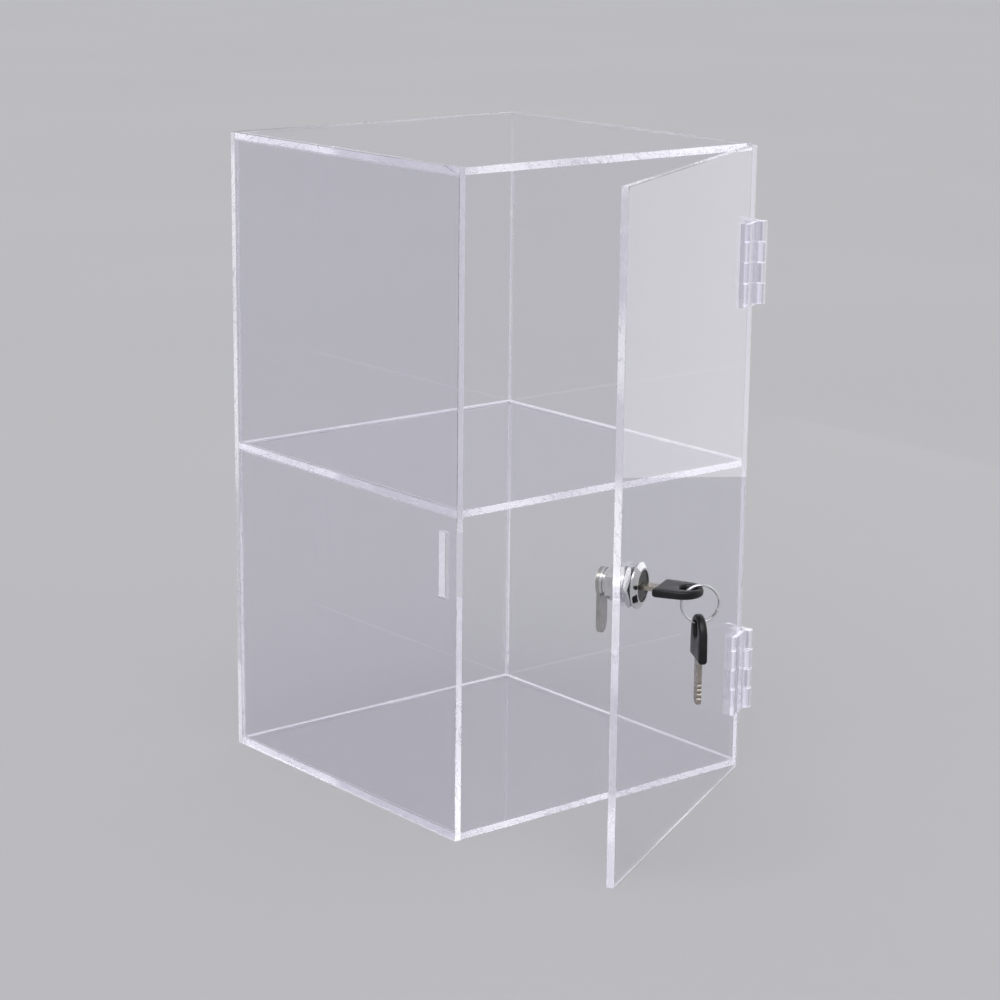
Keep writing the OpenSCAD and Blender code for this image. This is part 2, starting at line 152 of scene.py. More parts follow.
@dataclass
class EffectGroup:
    """A shader node group with named inputs and outputs, built once."""

    name: str
    inputs: dict[str, tuple[str, object]]
    outputs: dict[str, str]
    tree: Tree = field(init=False)
    start: bpy.types.Node = field(init=False)
    end: bpy.types.Node = field(init=False)

    def __post_init__(self) -> None:
        """Makes the empty group and its sockets."""
        group = bpy.data.node_groups.new(self.name, "ShaderNodeTree")
        for name, (kind, value) in self.inputs.items():
            socket = group.interface.new_socket(name, in_out="INPUT", socket_type=kind)
            socket.default_value = value
        for name, kind in self.outputs.items():
            group.interface.new_socket(name, in_out="OUTPUT", socket_type=kind)
        self.tree = Tree(group)
        self.start = self.tree.add("NodeGroupInput")
        self.end = self.tree.add("NodeGroupOutput")

    def give(self, **results: bpy.types.NodeSocket) -> None:
        """Links results to the group's outputs."""
        for name, socket in results.items():
            self.tree.tree.links.new(socket, self.end.inputs[name.replace("_", " ")])

    def place(self, tree: Tree, **values: object) -> bpy.types.Node:
        """Puts the group into a material with its own values and returns the node."""
        node = tree.add("ShaderNodeGroup", node_tree=self.tree.tree)
        tree.feed([node.inputs[name.replace("_", " ")] for name in values], values.values())
        return node


FLOAT, VECTOR = "NodeSocketFloat", "NodeSocketVector"


def cut_edge_effect() -> EffectGroup:
    """Finds the cut edges of a sheet and the marks that the cutter left on them.

    The edge mask is one minus the size of the normal along the sheet's own direction. The
    object's place is flattened along that direction and sheared by a part of its depth, so
    that noise read there gives slanting marks that run right across the edge. A streak lies
    where that noise crosses its middle value. Broad noise picks the frosted lengths.
    """
    g = EffectGroup("Cut edge", {"Across": (VECTOR, (0, 0, 1)), "Line Scale": (FLOAT, 110.0),
                                 "Patch Scale": (FLOAT, 7.0), "Slant": (FLOAT, 1.1)},
                    {"Edge": FLOAT, "Frost": FLOAT, "Streaks": FLOAT, "Grain": FLOAT})
    t, (across, lines, patches, slant) = g.tree, g.start.outputs[:4]
    place = t.add("ShaderNodeTexCoord")
    along = t.vector("DOT_PRODUCT", place.outputs["Normal"], across, out="Value")
    edge = t.ramp(t.maths("ABSOLUTE", along), 0.2, 0.6, 1.0, 0.0)
    depth = t.vector("DOT_PRODUCT", place.outputs["Object"], across, out="Value")
    flat = t.vector("SUBTRACT", place.outputs["Object"], t.scaled(across, depth))
    shift = t.scaled((1.0, 1.0, 1.0), t.maths("MULTIPLY", depth, slant))
    slanted = t.vector("ADD", flat, shift)
    coarse = t.add("ShaderNodeTexNoise", {"Vector": slanted, "Scale": lines, "Detail": 1.0})
    fine = t.add("ShaderNodeTexNoise", {"Vector": slanted, "Scale": 1500.0, "Detail": 2.0})
    broad = t.add("ShaderNodeTexNoise", {"Vector": flat, "Scale": patches, "Detail": 1.0})
    off = t.maths("ABSOLUTE", t.maths("SUBTRACT", coarse.outputs[0], 0.5))
    streaks = t.maths("MULTIPLY", t.ramp(off, 0.008, 0.03, 1.0, 0.0), edge)
    frost = t.maths("MULTIPLY", t.ramp(broad.outputs[0], 0.48, 0.52), edge)
    grain = t.maths("MULTIPLY", t.ramp(fine.outputs[0], 0.35, 0.65), edge)
    g.give(Edge=edge, Frost=frost, Streaks=streaks, Grain=grain)
    return g


def handling_effect() -> EffectGroup:
    """Faint hairlines and soft smears that handling leaves on a polished surface."""
    g = EffectGroup("Handling", {"Smear Scale": (FLOAT, 40.0), "Hair Scale": (FLOAT, 900.0)},
                    {"Smear": FLOAT, "Hairlines": FLOAT})
    t = g.tree
    place = t.add("ShaderNodeTexCoord").outputs["Object"]
    smear = t.add("ShaderNodeTexNoise", {"Vector": place, "Scale": g.start.outputs[0],
                                         "Detail": 4.0, "Distortion": 0.6})
    turn = t.add("ShaderNodeMapping", {"Vector": place, "Rotation": (0.4, 0.7, 0.5),
                                       "Scale": (1.0, 0.03, 0.03)})
    hair = t.add("ShaderNodeTexNoise", {"Vector": turn.outputs[0], "Scale": g.start.outputs[1],
                                        "Detail": 2.0})
    g.give(Smear=t.ramp(smear.outputs[0], 0.4, 0.75), Hairlines=t.ramp(hair.outputs[0], 0.62, 0.72))
    return g


def turned_lines_effect() -> EffectGroup:
    """Fine parallel tool marks across a given direction, as a mill or a lathe leaves them."""
    g = EffectGroup("Tool lines", {"Direction": (VECTOR, (0, 0, 1)), "Line Scale": (FLOAT, 3000.0)},
                    {"Lines": FLOAT})
    t = g.tree
    place = t.add("ShaderNodeTexCoord").outputs["Object"]
    along = t.vector("DOT_PRODUCT", place, g.start.outputs[0], out="Value")
    drift = t.add("ShaderNodeTexNoise", {"Vector": place, "Scale": 120.0, "Detail": 1.0})
    walk = t.maths("ADD", t.maths("MULTIPLY", along, g.start.outputs[1]), drift.outputs[0])
    lines = t.add("ShaderNodeTexNoise", {"W": walk, "Scale": 1.0, "Detail": 2.0},
                  noise_dimensions="1D")
    g.give(Lines=lines.outputs[0])
    return g


# ---- Finishes ----


@dataclass(frozen=True)
class Palette:
    """The shared effects that the finishes are mixed from."""

    cut_edge: EffectGroup
    handling: EffectGroup
    tool_lines: EffectGroup


def new_material(name: str) -> tuple[bpy.types.Material, Tree, bpy.types.Node]:
    """Makes a material with an output node and returns it, its tree and the output."""
    material = bpy.data.materials.new(name)
    material.use_nodes = True
    material.node_tree.nodes.clear()
    tree = Tree(material.node_tree)
    return material, tree, tree.add("ShaderNodeOutputMaterial")


@dataclass(frozen=True)
class ClearAcrylic:
    """Clear cast or moulded acrylic with polished faces and machined edges."""

    name: str
    across: tuple = Axis.HEIGHT.value
    face_tint: tuple = (0.945, 0.938, 0.975, 1.0)
    edge_tint: tuple = (0.95, 0.94, 0.985, 1.0)
    frost_tint: tuple = (1.0, 1.0, 1.0, 1.0)
    shade: tuple = (0.955, 0.952, 0.962, 1.0)
    # Painted light: the next two colours are emission on the cut edges, in place of the light that
    # the sheet gathers and lets out there.
    painted_edge_light: tuple = (0.045, 0.043, 0.052, 1.0)
    painted_frost_light: tuple = (0.24, 0.235, 0.26, 1.0)
    edge_rough: float = 0.03
    line_rough: float = 0.08
    frost_rough: float = 0.42
    relief: float = 0.00006
    line_scale: float = 110.0

    def make(self, palette: Palette) -> bpy.types.Material:
        """Builds the material.

        Args:
            palette: the shared effects.

        Returns:
            Glass that lets lamps through, with streaks and frosted lengths on its cut edges,
            which carry painted light: an emission, stronger on the frosted lengths, stands in
            for the light that the sheet gathers.
        """
        material, t, out = new_material(self.name)
        edge = palette.cut_edge.place(t, Across=self.across, Line_Scale=self.line_scale)
        touch = palette.handling.place(t)
        mask, frost, streaks, grain = edge.outputs[:4]
        frosted = t.maths("MULTIPLY", frost, t.ramp(streaks, 0.0, 1.0, 1.0, 0.15))
        rough = t.total(t.maths("MULTIPLY", mask, self.edge_rough),
                        t.maths("MULTIPLY", streaks, self.line_rough),
                        t.maths("MULTIPLY", frosted, t.ramp(grain, 0.0, 1.0, self.frost_rough * 0.6,
                                                            self.frost_rough)),
                        t.maths("MULTIPLY", touch.outputs["Smear"], 0.01))
        relief = t.total(streaks, t.maths("MULTIPLY", grain, 0.25))
        bump = t.add("ShaderNodeBump", {"Strength": 0.5, "Distance": self.relief, "Height": relief})
        edge_colour = t.blend(frosted, self.edge_tint, self.frost_tint)
        # Painted light: the cut edges glow by emission, more on the frosted lengths, in place of
        # light gathered by the sheet.
        painted_light_share = t.maths("MULTIPLY", frosted, t.ramp(grain, 0.0, 1.0, 0.6, 1.0))
        glow = t.blend(mask, (0, 0, 0, 1), t.blend(painted_light_share, self.painted_edge_light, self.painted_frost_light))
        glass = t.add("ShaderNodeBsdfPrincipled", {
            "Base Color": t.blend(mask, self.face_tint, edge_colour), "Roughness": rough,
            "IOR": ACRYLIC_IOR, "Transmission Weight": 1.0, "Emission Color": glow,
            "Emission Strength": 1.0, "Normal": bump.outputs[0]})
        shade = t.add("ShaderNodeBsdfTransparent", {"Color": self.shade})
        path = t.add("ShaderNodeLightPath")
        lamps = t.maths("MAXIMUM", path.outputs["Is Shadow Ray"], path.outputs["Is Diffuse Ray"])
        mix = t.add("ShaderNodeMixShader", {0: lamps, 1: glass.outputs[0], 2: shade.outputs[0]})
        t.tree.links.new(mix.outputs[0], out.inputs[0])
        return material


@dataclass(frozen=True)
class CementLine:
    """Cured solvent cement: a clear bead, clouded and faintly bubbled."""

    name: str = "Cement line"
    colour: tuple = (0.90, 0.89, 0.95, 1.0)
    clouded: tuple = (0.98, 0.98, 0.99, 1.0)
    clearness: float = 0.1

    def make(self, palette: Palette) -> bpy.types.Material:
        """Builds the material.

        Args:
            palette: the shared effects.

        Returns:
            A pale, half clear bead with small bubbles in its surface.
        """
        material, t, out = new_material(self.name)
        touch = palette.handling.place(t, Smear_Scale=60.0)
        place = t.add("ShaderNodeTexCoord").outputs["Object"]
        bubbles = t.add("ShaderNodeTexVoronoi", {"Vector": place, "Scale": 700.0})
        bump = t.add("ShaderNodeBump", {"Strength": 0.4, "Distance": 0.0001,
                                        "Height": t.ramp(bubbles.outputs["Distance"], 0.0, 0.4)})
        bead = t.add("ShaderNodeBsdfPrincipled", {
            "Base Color": t.blend(touch.outputs["Smear"], self.colour, self.clouded),
            "Roughness": t.ramp(touch.outputs["Smear"], 0.0, 1.0, 0.12, 0.35), "IOR": ACRYLIC_IOR,
            "Transmission Weight": self.clearness, "Normal": bump.outputs[0]})
        t.tree.links.new(bead.outputs[0], out.inputs[0])
        return material


@dataclass(frozen=True)
class BrightMetal:
    """Plated or plain metal, from mirror chrome to milled nickel."""

    name: str
    colour: tuple = (0.70, 0.70, 0.715, 1.0)
    dull_colour: tuple = (0.56, 0.56, 0.58, 1.0)
    rough: float = 0.07
    dull_rough: float = 0.2
    direction: tuple = (0.0, 0.0, 1.0)
    line_scale: float = 3000.0
    line_depth: float = 0.05

    def make(self, palette: Palette) -> bpy.types.Material:
        """Builds the material.

        Args:
            palette: the shared effects.

        Returns:
            Metal with tool lines, hairlines and slightly duller patches.
        """
        material, t, out = new_material(self.name)
        touch = palette.handling.place(t, Smear_Scale=160.0, Hair_Scale=4000.0)
        lines = palette.tool_lines.place(t, Direction=self.direction, Line_Scale=self.line_scale)
        hairs = t.maths("MULTIPLY", touch.outputs["Hairlines"], 0.6)
        worn = t.maths("ADD", touch.outputs["Smear"], hairs, clamp=True)
        bump = t.add("ShaderNodeBump", {"Strength": self.line_depth, "Distance": 0.0001,
                                        "Height": lines.outputs[0]})
        metal = t.add("ShaderNodeBsdfPrincipled", {
            "Base Color": t.blend(worn, self.colour, self.dull_colour), "Metallic": 1.0,
            "Roughness": t.ramp(worn, 0.0, 1.0, self.rough, self.dull_rough),
            "Normal": bump.outputs[0]})
        t.tree.links.new(metal.outputs[0], out.inputs[0])
        return material


@dataclass(frozen=True)
class SatinBlack:
    """Satin black plastic or paint with a fine moulded grain and rubbed spots."""

    name: str
    colour: tuple = (0.006, 0.006, 0.007, 1.0)
    rubbed: tuple = (0.018, 0.018, 0.020, 1.0)
    rough: float = 0.36
    rubbed_rough: float = 0.26
    grain: float = 0.12
    grain_scale: float = 5200.0

    def make(self, palette: Palette) -> bpy.types.Material:
        """Builds the material.

        Args:
            palette: the shared effects.

        Returns:
            Black with a satin sheen, fine grain and rubbed, smoother spots.
        """
        material, t, out = new_material(self.name)
        touch = palette.handling.place(t, Smear_Scale=110.0, Hair_Scale=2500.0)
        place = t.add("ShaderNodeTexCoord").outputs["Object"]
        grain = t.add("ShaderNodeTexNoise", {"Vector": place, "Scale": self.grain_scale,
                                             "Detail": 2.0})
        bump = t.add("ShaderNodeBump", {"Strength": self.grain, "Distance": 0.00008,
                                        "Height": grain.outputs[0]})
        black = t.add("ShaderNodeBsdfPrincipled", {
            "Base Color": t.blend(touch.outputs["Smear"], self.colour, self.rubbed),
            "Roughness": t.ramp(touch.outputs["Smear"], 0.0, 1.0, self.rough, self.rubbed_rough),
            "Specular IOR Level": 0.3, "Normal": bump.outputs[0]})
        t.tree.links.new(black.outputs[0], out.inputs[0])
        return material


# ---- Surfaces ----


def grid_faces(rows: int, columns: int, close_rows: bool, close_columns: bool) -> Array:
    """Quads of a grid of points.

    Args:
        rows: number of rows of points.
        columns: number of points in each row.
        close_rows: whether the last row joins the first.
        close_columns: whether each row is a closed loop.

    Returns:
        One row of four point numbers for each quad, anticlockwise where rows run to the
        right and columns run upwards.
    """
    i = np.arange(rows if close_rows else rows - 1)[:, None]
    j = np.arange(columns if close_columns else columns - 1)[None, :]
    ni, nj = (i + 1) % rows, (j + 1) % columns
    quads = np.stack(np.broadcast_arrays(i * columns + j, ni * columns + j, ni * columns + nj,
                                         i * columns + nj), axis=-1)
    return quads.reshape(-1, 4)


def surface(name: str, points: Array, faces: Array | list, material: bpy.types.Material,
            smooth: bool = True, weld: float = 0.0) -> bpy.types.Object:
    """Makes a piece from points and faces.

    Args:
        name: name of the piece.
        points: array of points, three numbers each, in the row frame.
        faces: point numbers of each face.
        material: finish of the piece.
        smooth: whether the faces are shaded smoothly.
        weld: distance within which points are made one, or 0 to keep them all.

    Returns:
        The new object, linked to the scene, at the origin, its faces pointing outwards.
    """
    mesh = bpy.data.meshes.new(name)
    corners = np.asarray(points).reshape(-1, 3).tolist()
    mesh.from_pydata(corners, [], [list(map(int, face)) for face in faces])
    work = bmesh.new()
    work.from_mesh(mesh)
    if weld:
        bmesh.ops.remove_doubles(work, verts=work.verts, dist=weld)
    bmesh.ops.recalc_face_normals(work, faces=work.faces)
    work.to_mesh(mesh)
    work.free()
    mesh.polygons.foreach_set("use_smooth", [smooth] * len(mesh.polygons))
    mesh.materials.append(material)
    mesh.update()
    piece = bpy.data.objects.new(name, mesh)
    bpy.context.scene.collection.objects.link(piece)
    return piece


def tube(path: Array, radius: Array, sides: int) -> tuple[Array, list]:
    """Round tube along an open path, with its ends closed.

    Each ring is the path's point plus the radius times cos and sin of an angle, along two
    directions square to the path's own.

    Args:
        path: points along the middle of the tube.
        radius: radius at each of those points.
        sides: number of sides of the tube.

    Returns:
        The points and the faces.
    """
    tangent = np.gradient(path, axis=0)
    tangent /= np.linalg.norm(tangent, axis=1, keepdims=True)
    seed = np.cross(tangent, np.broadcast_to(path.mean(0) - path[0], path.shape) + NUDGE)
    seed = np.where(np.linalg.norm(seed, axis=1, keepdims=True) > NEAR_ZERO, seed, UP)
    side = np.cross(tangent, seed)
    side /= np.linalg.norm(side, axis=1, keepdims=True)
    other = np.cross(tangent, side)
    angle = np.linspace(0, 2 * np.pi, sides, endpoint=False)[None, :, None]
    round_it = np.cos(angle) * side[:, None] + np.sin(angle) * other[:, None]
    rings = path[:, None] + radius[:, None, None] * round_it
    faces = grid_faces(len(path), sides, False, True)[:, ::-1].tolist()
    last = (len(path) - 1) * sides
    faces.append(list(range(sides)))
    faces.append(list(range(last + sides - 1, last - 1, -1)))
    return rings.reshape(-1, 3), faces


def box_reach(angle: Array, box: Array) -> Array:
    """Distance from the origin to a rectangle's edge along each angle.

    It is the nearest of the four sides along the direction (cos, sin).

    Args:
        angle: directions, in radians.
        box: the rectangle's lowest and highest corners around the origin.

    Returns:
        One distance for each angle.
    """
    way = np.stack([np.cos(angle), np.sin(angle)], -1)
    way = np.where(np.abs(way) < NEAR_ZERO, NEAR_ZERO, way)
    return np.where(way > 0, box[1] / way, box[0] / way).min(-1)


def pierced_slab(outer: Array, hole: Array | float, thick: float,
                 bevel: float) -> tuple[Array, Array]:
    """Slab with one hole, both with bevelled edges.

    A point's distance from the hole's middle is taken from the hole's edge or the slab's
    edge along the same angle, moved by the bevel on the two broad faces. The eight circuits
    run from the hole's back edge over its wall, the front face and the slab's edge.

    Args:
        outer: the slab's lowest and highest corners around the middle of the hole.
        hole: the hole's corners in the same way, or its radius.
        thick: thickness of the slab, whose faces are at half of it to either side.
        bevel: width of the bevels.

    Returns:
        The points, as X and Y in the slab's plane and Z across it, and the faces.
    """
    steps, digits = 96, 9
    boxes = [outer] if np.isscalar(hole) else [outer, hole]
    corners = [np.arctan2(b[j, 1], b[i, 0]) for b in boxes for i in (0, 1) for j in (0, 1)]
    even = np.linspace(-np.pi, np.pi, steps + 1)[:-1]
    angle = np.unique(np.concatenate([even, corners]).round(digits))
    inner = np.full(len(angle), hole) if np.isscalar(hole) else box_reach(angle, hole)
    sunk = inner + bevel
    full, cut = box_reach(angle, outer), box_reach(angle, outer - bevel * np.sign(outer))
    half = thick / 2
    reach = np.stack([sunk, inner, inner, sunk, cut, full, full, cut], 1)
    height = np.array([-half, bevel - half, half - bevel, half,
                       half, half - bevel, bevel - half, -half])
    points = np.stack([reach * np.cos(angle)[:, None], reach * np.sin(angle)[:, None],
                       np.broadcast_to(height, reach.shape)], -1)
    return points, grid_faces(len(angle), len(height), True, True)


def slab(size: Array, bevel: float) -> tuple[Array, list]:
    """Slab with bevelled edges, centred on the origin.

    Four rectangles are stacked along Z; the first and last are smaller by the bevel.

    Args:
        size: its width, height and thickness as X, Y and Z.
        bevel: width of the bevels.

    Returns:
        The points and the faces.
    """
    corner = np.array([[-1, -1], [1, -1], [1, 1], [-1, 1]]) / 2
    inset = np.array([2 * bevel, 0, 0, 2 * bevel])
    height = np.array([-size[2] / 2, bevel - size[2] / 2, size[2] / 2 - bevel, size[2] / 2])
    flat = corner[None] * (np.asarray(size)[None, None, :2] - inset[:, None, None])
    points = np.concatenate([flat, np.broadcast_to(height[:, None, None], (4, 4, 1))], -1)
    faces = grid_faces(4, 4, False, True).tolist() + [[0, 1, 2, 3], [12, 13, 14, 15]]
    return points, faces


def prism(start: Array, end: Array, section: Array) -> tuple[Array, list]:
    """Section carried in a straight line from start to end, closed at both ends."""
    count = len(section)
    points = np.stack([start + section, end + section])
    faces = grid_faces(2, count, False, True).tolist()
    return points, faces + [list(range(count)), list(range(count, 2 * count))]


def joined(shapes: list) -> tuple[Array, list]:
    """Several shapes as one: their points one after another, with faces counted on."""
    starts = np.cumsum([0] + [pts.reshape(-1, 3).shape[0] for pts, _ in shapes])
    points = np.concatenate([pts.reshape(-1, 3) for pts, _ in shapes])
    return points, [[int(v) + int(n) for v in f] for (_, fs), n in zip(shapes, starts) for f in fs]


# ---- Places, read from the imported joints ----


def joint(name: str) -> dict:
    """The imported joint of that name."""
    return next(j for j in frame["joints"] if j["name"] == name)


@dataclass(frozen=True)
class Place:
    """A place with its own directions: side, lift and out, as X, Y and Z."""

    origin: Array
    side: Array
    lift: Array
    out: Array

    def at(self, points: Array) -> Array:
        """Local points, as an array whose last axis is X, Y, Z, put into the row frame."""
        return self.origin + points @ np.stack([self.side, self.lift, self.out])

    def moved(self, x: float = 0.0, y: float = 0.0, z: float = 0.0) -> "Place":
        """The same directions about another point, given in local lengths."""
        return Place(self.at(np.array([x, y, z])), self.side, self.lift, self.out)


def lock_place() -> Place:
    """The lock's axis where it leaves the door's face, pointing out of the door."""
    turn = joint("lock_turn")
    out = -np.array(turn["axis"], float)
    return Place(np.array(turn["pos_m"], float), np.cross(UP, out), UP, out)


def ring_place() -> Place:
    """The middle of the split ring's lowest point: X along the ring, Z along its axis."""
    hang = joint("spare_swing")
    along = np.array(hang["axis"], float)
    return Place(np.array(hang["pos_m"], float), along, UP, np.cross(along, UP))


# ---- Sub-assemblies ----


def settle(piece: bpy.types.Object, body: str, slot: str, *nodes: str) -> None:
    """Makes a piece ride on a body and stand for any nodes given."""
    if nodes:
        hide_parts(*nodes)
    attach(piece, body)
    LOG.info("%s rides on %s%s", piece.name, body, " for " + ", ".join(nodes) if nodes else "")


def dress_node(node: str, finish: bpy.types.Material) -> None:
    """Gives a CAD node its finish."""
    mesh = frame["nodes"][node].data
    mesh.materials.clear()
    mesh.materials.append(finish)
    LOG.info("%s wears %s", node, finish.name)


@dataclass
class Case:
    """The case: three walls, a top and a bottom, the shelf between, and their cement."""

    palette: Palette
    bevel: float = 0.22 * MM
    film: float = 0.012 * MM
    bead_size: float = 0.9 * MM
    panels: dict = field(default_factory=lambda: {
        "back_wall": Axis.DEPTH, "right_wall": Axis.ACROSS, "left_wall": Axis.ACROSS,
        "top_panel": Axis.HEIGHT, "bottom_panel": Axis.HEIGHT, "shelf": Axis.HEIGHT})

    def build(self) -> None:
        """Makes each panel as a bevelled slab, and then the cement in the inner corners."""
        made = {}
        for axis in dict.fromkeys(self.panels.values()):
            finish = ClearAcrylic(f"Clear acrylic {axis.name.lower()}", axis.value)
            made[axis] = finish.make(self.palette)
        for node, axis in self.panels.items():
            low, high = (np.array(v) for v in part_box(node))
            middle, size = (low + high) / 2, high - low - 2 * self.film
            order = {Axis.DEPTH: (0, 2, 1), Axis.ACROSS: (1, 2, 0), Axis.HEIGHT: (0, 1, 2)}[axis]
            place = Place(middle, *np.eye(3)[list(order)])
            slot = self.cam_slot() if node == "left_wall" else None
            if slot is None:
                points, faces = slab(size[list(order)], self.bevel)
            else:
                centre = np.array([middle[0], *slot.mean(0)])
                place = Place(centre, *np.eye(3)[list(order)])
                outer = np.stack([low, high])[:, 1:] - centre[1:]
                outer = outer - self.film * np.sign(outer)
                points, faces = pierced_slab(outer, slot - slot.mean(0), size[0], self.bevel)
            piece = surface(f"{node}_sheet", place.at(points), faces, made[axis], smooth=False)
            settle(piece, "case", "acrylic", node)
        self.cement()

    def cam_slot(self) -> Array:
        """Lowest and highest Y and Z of the cam's slot, read from the left wall's own mesh."""
        mesh = frame["nodes"]["left_wall"].data
        spots = np.empty(len(mesh.vertices) * 3)
        mesh.vertices.foreach_get("co", spots)
        spots = spots.reshape(-1, 3)[:, 1:]
        inside = (spots > spots.min(0) + MM) & (spots < spots.max(0) - MM)
        inner = spots[inside.all(1)]
        return np.stack([inner.min(0), inner.max(0)])

    def bead(self, start: tuple, end: tuple, one: tuple, other: tuple) -> tuple[Array, list]:
        """A concave bead along an inner corner.

        Its section is the corner, a point along each face, and between them an arc whose
        middle is out in the air: one minus sin and one minus cos of an angle.

        Args:
            start: one end of the corner.
            end: its other end.
            one: direction from the corner along one face.
            other: direction along the other face.

        Returns:
            The points and the faces.
        """
        turn = np.linspace(0, np.pi / 2, 6)
        a, b = (np.array(v, float) for v in (one, other))
        arc = (1 - np.sin(turn))[:, None] * a + (1 - np.cos(turn))[:, None] * b
        section = np.concatenate([np.zeros((1, 3)), arc]) * self.bead_size + (a + b) * self.film
        return prism(np.array(start), np.array(end), section)

    def cement(self) -> None:
        """Runs a bead along every inner corner where two panels meet."""
        finish = CementLine().make(self.palette)
        gap = self.bead_size
        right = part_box("right_wall")[0][0]
        left, back, front = -right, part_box("back_wall")[0][1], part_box("left_wall")[0][1]
        levels = {"floor_cement": [(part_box("bottom_panel")[1][2], 1)],
                  "shelf_cement": [(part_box("shelf")[1][2], 1), (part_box("shelf")[0][2], -1)],
                  "top_cement": [(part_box("top_panel")[0][2], -1)]}
        for name, edges in levels.items():
            shapes = []
            for z, way in edges:
                lift = (0, 0, way)
                shapes += [self.bead((left, front, z), (left, back, z), (1, 0, 0), lift),
                           self.bead((right, front, z), (right, back, z), (-1, 0, 0), lift),
                           self.bead((left, back, z), (right, back, z), (0, -1, 0), lift)]
            settle(surface(name, *joined(shapes), finish, smooth=False), "case", "acrylic")
        spans = [(levels["floor_cement"][0][0], levels["shelf_cement"][1][0]),
                 (levels["shelf_cement"][0][0], levels["top_cement"][0][0])]
        shapes = [self.bead((x, back, low + gap), (x, back, high - gap), (way, 0, 0), (0, -1, 0))
                  for low, high in spans for x, way in ((left, 1), (right, -1))]
        settle(surface("corner_cement", *joined(shapes), finish, smooth=False), "case", "acrylic")


@dataclass
class Door:
    """The door's panel, standing ajar, with the round hole that the lock goes through."""

    palette: Palette
    bevel: float = 0.22 * MM
    film: float = 0.012 * MM
    thick: float = 4 * MM
    hole_r: float = 7 * MM
    to_free: float = 13.5 * MM
    to_hinge: float = 186.5 * MM
    below: float = 153.5 * MM
    above: float = 195.5 * MM

    def build(self, lock: Place) -> None:
        """Makes the door's sheet about the lock's hole.

        Args:
            lock: the lock's axis at the door's face.
        """
        outer = np.array([[-self.to_free, -self.below], [self.to_hinge, self.above]])
        points, faces = pierced_slab(outer, self.hole_r, self.thick - 2 * self.film, self.bevel)
        finish = ClearAcrylic("Clear acrylic door", tuple(lock.out)).make(self.palette)
        place = lock.moved(z=-self.thick / 2)
        settle(surface("door_sheet", place.at(points), faces, finish, smooth=False), "door",
               "acrylic", "door_panel")


@dataclass
class Hinges:
    """Two clear butt hinges."""

    palette: Palette
    # Painted light: a faint emission on the moulded rims, in place of the light that the leaves
    # gather.
    painted_rim_light: tuple = (0.085, 0.083, 0.095, 1.0)

    def dress(self, lock: Place) -> None:
        """Gives the leaves and pins moulded acrylic.

        Args:
            lock: the lock's axis, whose direction is square to the door's leaves.
        """
        # The rims get painted light, an even faint emission on their cut edges.
        moulded = {"painted_edge_light": self.painted_rim_light, "painted_frost_light": self.painted_rim_light, "frost_rough": 0.02,
                   "line_rough": 0.01, "relief": 0.00001}
        wall = ClearAcrylic("Moulded acrylic wall", Axis.ACROSS.value, **moulded).make(self.palette)
        door = ClearAcrylic("Moulded acrylic door", tuple(lock.out), **moulded).make(self.palette)
        for level in ("lower", "upper"):
            dress_node(f"{level}_wall_leaf", wall)
            dress_node(f"{level}_hinge_pin", wall)
            dress_node(f"{level}_door_leaf", door)


@dataclass
class CamLock:
    """The cam lock, from its round head to the screw that holds its cam."""

    palette: Palette

    def dress(self, place: Place) -> None:
        """Gives the lock's nodes their metals."""
        axis = tuple(place.out)
        chrome = BrightMetal("Polished chrome", direction=axis).make(self.palette)
        plain = BrightMetal("Zinc plate", (0.70, 0.70, 0.71, 1), (0.52, 0.52, 0.53, 1), 0.14, 0.3,
                            axis, 2400.0, 0.1).make(self.palette)
        nickel = BrightMetal("Pin nickel", (0.68, 0.62, 0.53, 1), (0.5, 0.46, 0.4, 1), 0.2, 0.32,
                             axis, 2600.0, 0.1).make(self.palette)
        steel = BrightMetal("Cam steel", (0.50, 0.485, 0.465, 1), (0.36, 0.35, 0.34, 1), 0.16, 0.3,
                            axis, 2600.0, 0.1).make(self.palette)
        black = SatinBlack("Black oxide", (0.004, 0.004, 0.005, 1), (0.010, 0.010, 0.011, 1),
                           0.3, 0.2, 0.05).make(self.palette)
        dress_node("lock_cam", steel)
        for node in ("lock_housing", "front_nut"):
            dress_node(node, chrome)
        for node in ("nut_washer", "clamping_nut", "stop_washer", "screw_washer", "cam_screw",
                     "driver_springs"):
            dress_node(node, plain)
        for node in ("driver_pins", "key_pins"):
            dress_node(node, nickel)
        dress_node("lock_plug", black)


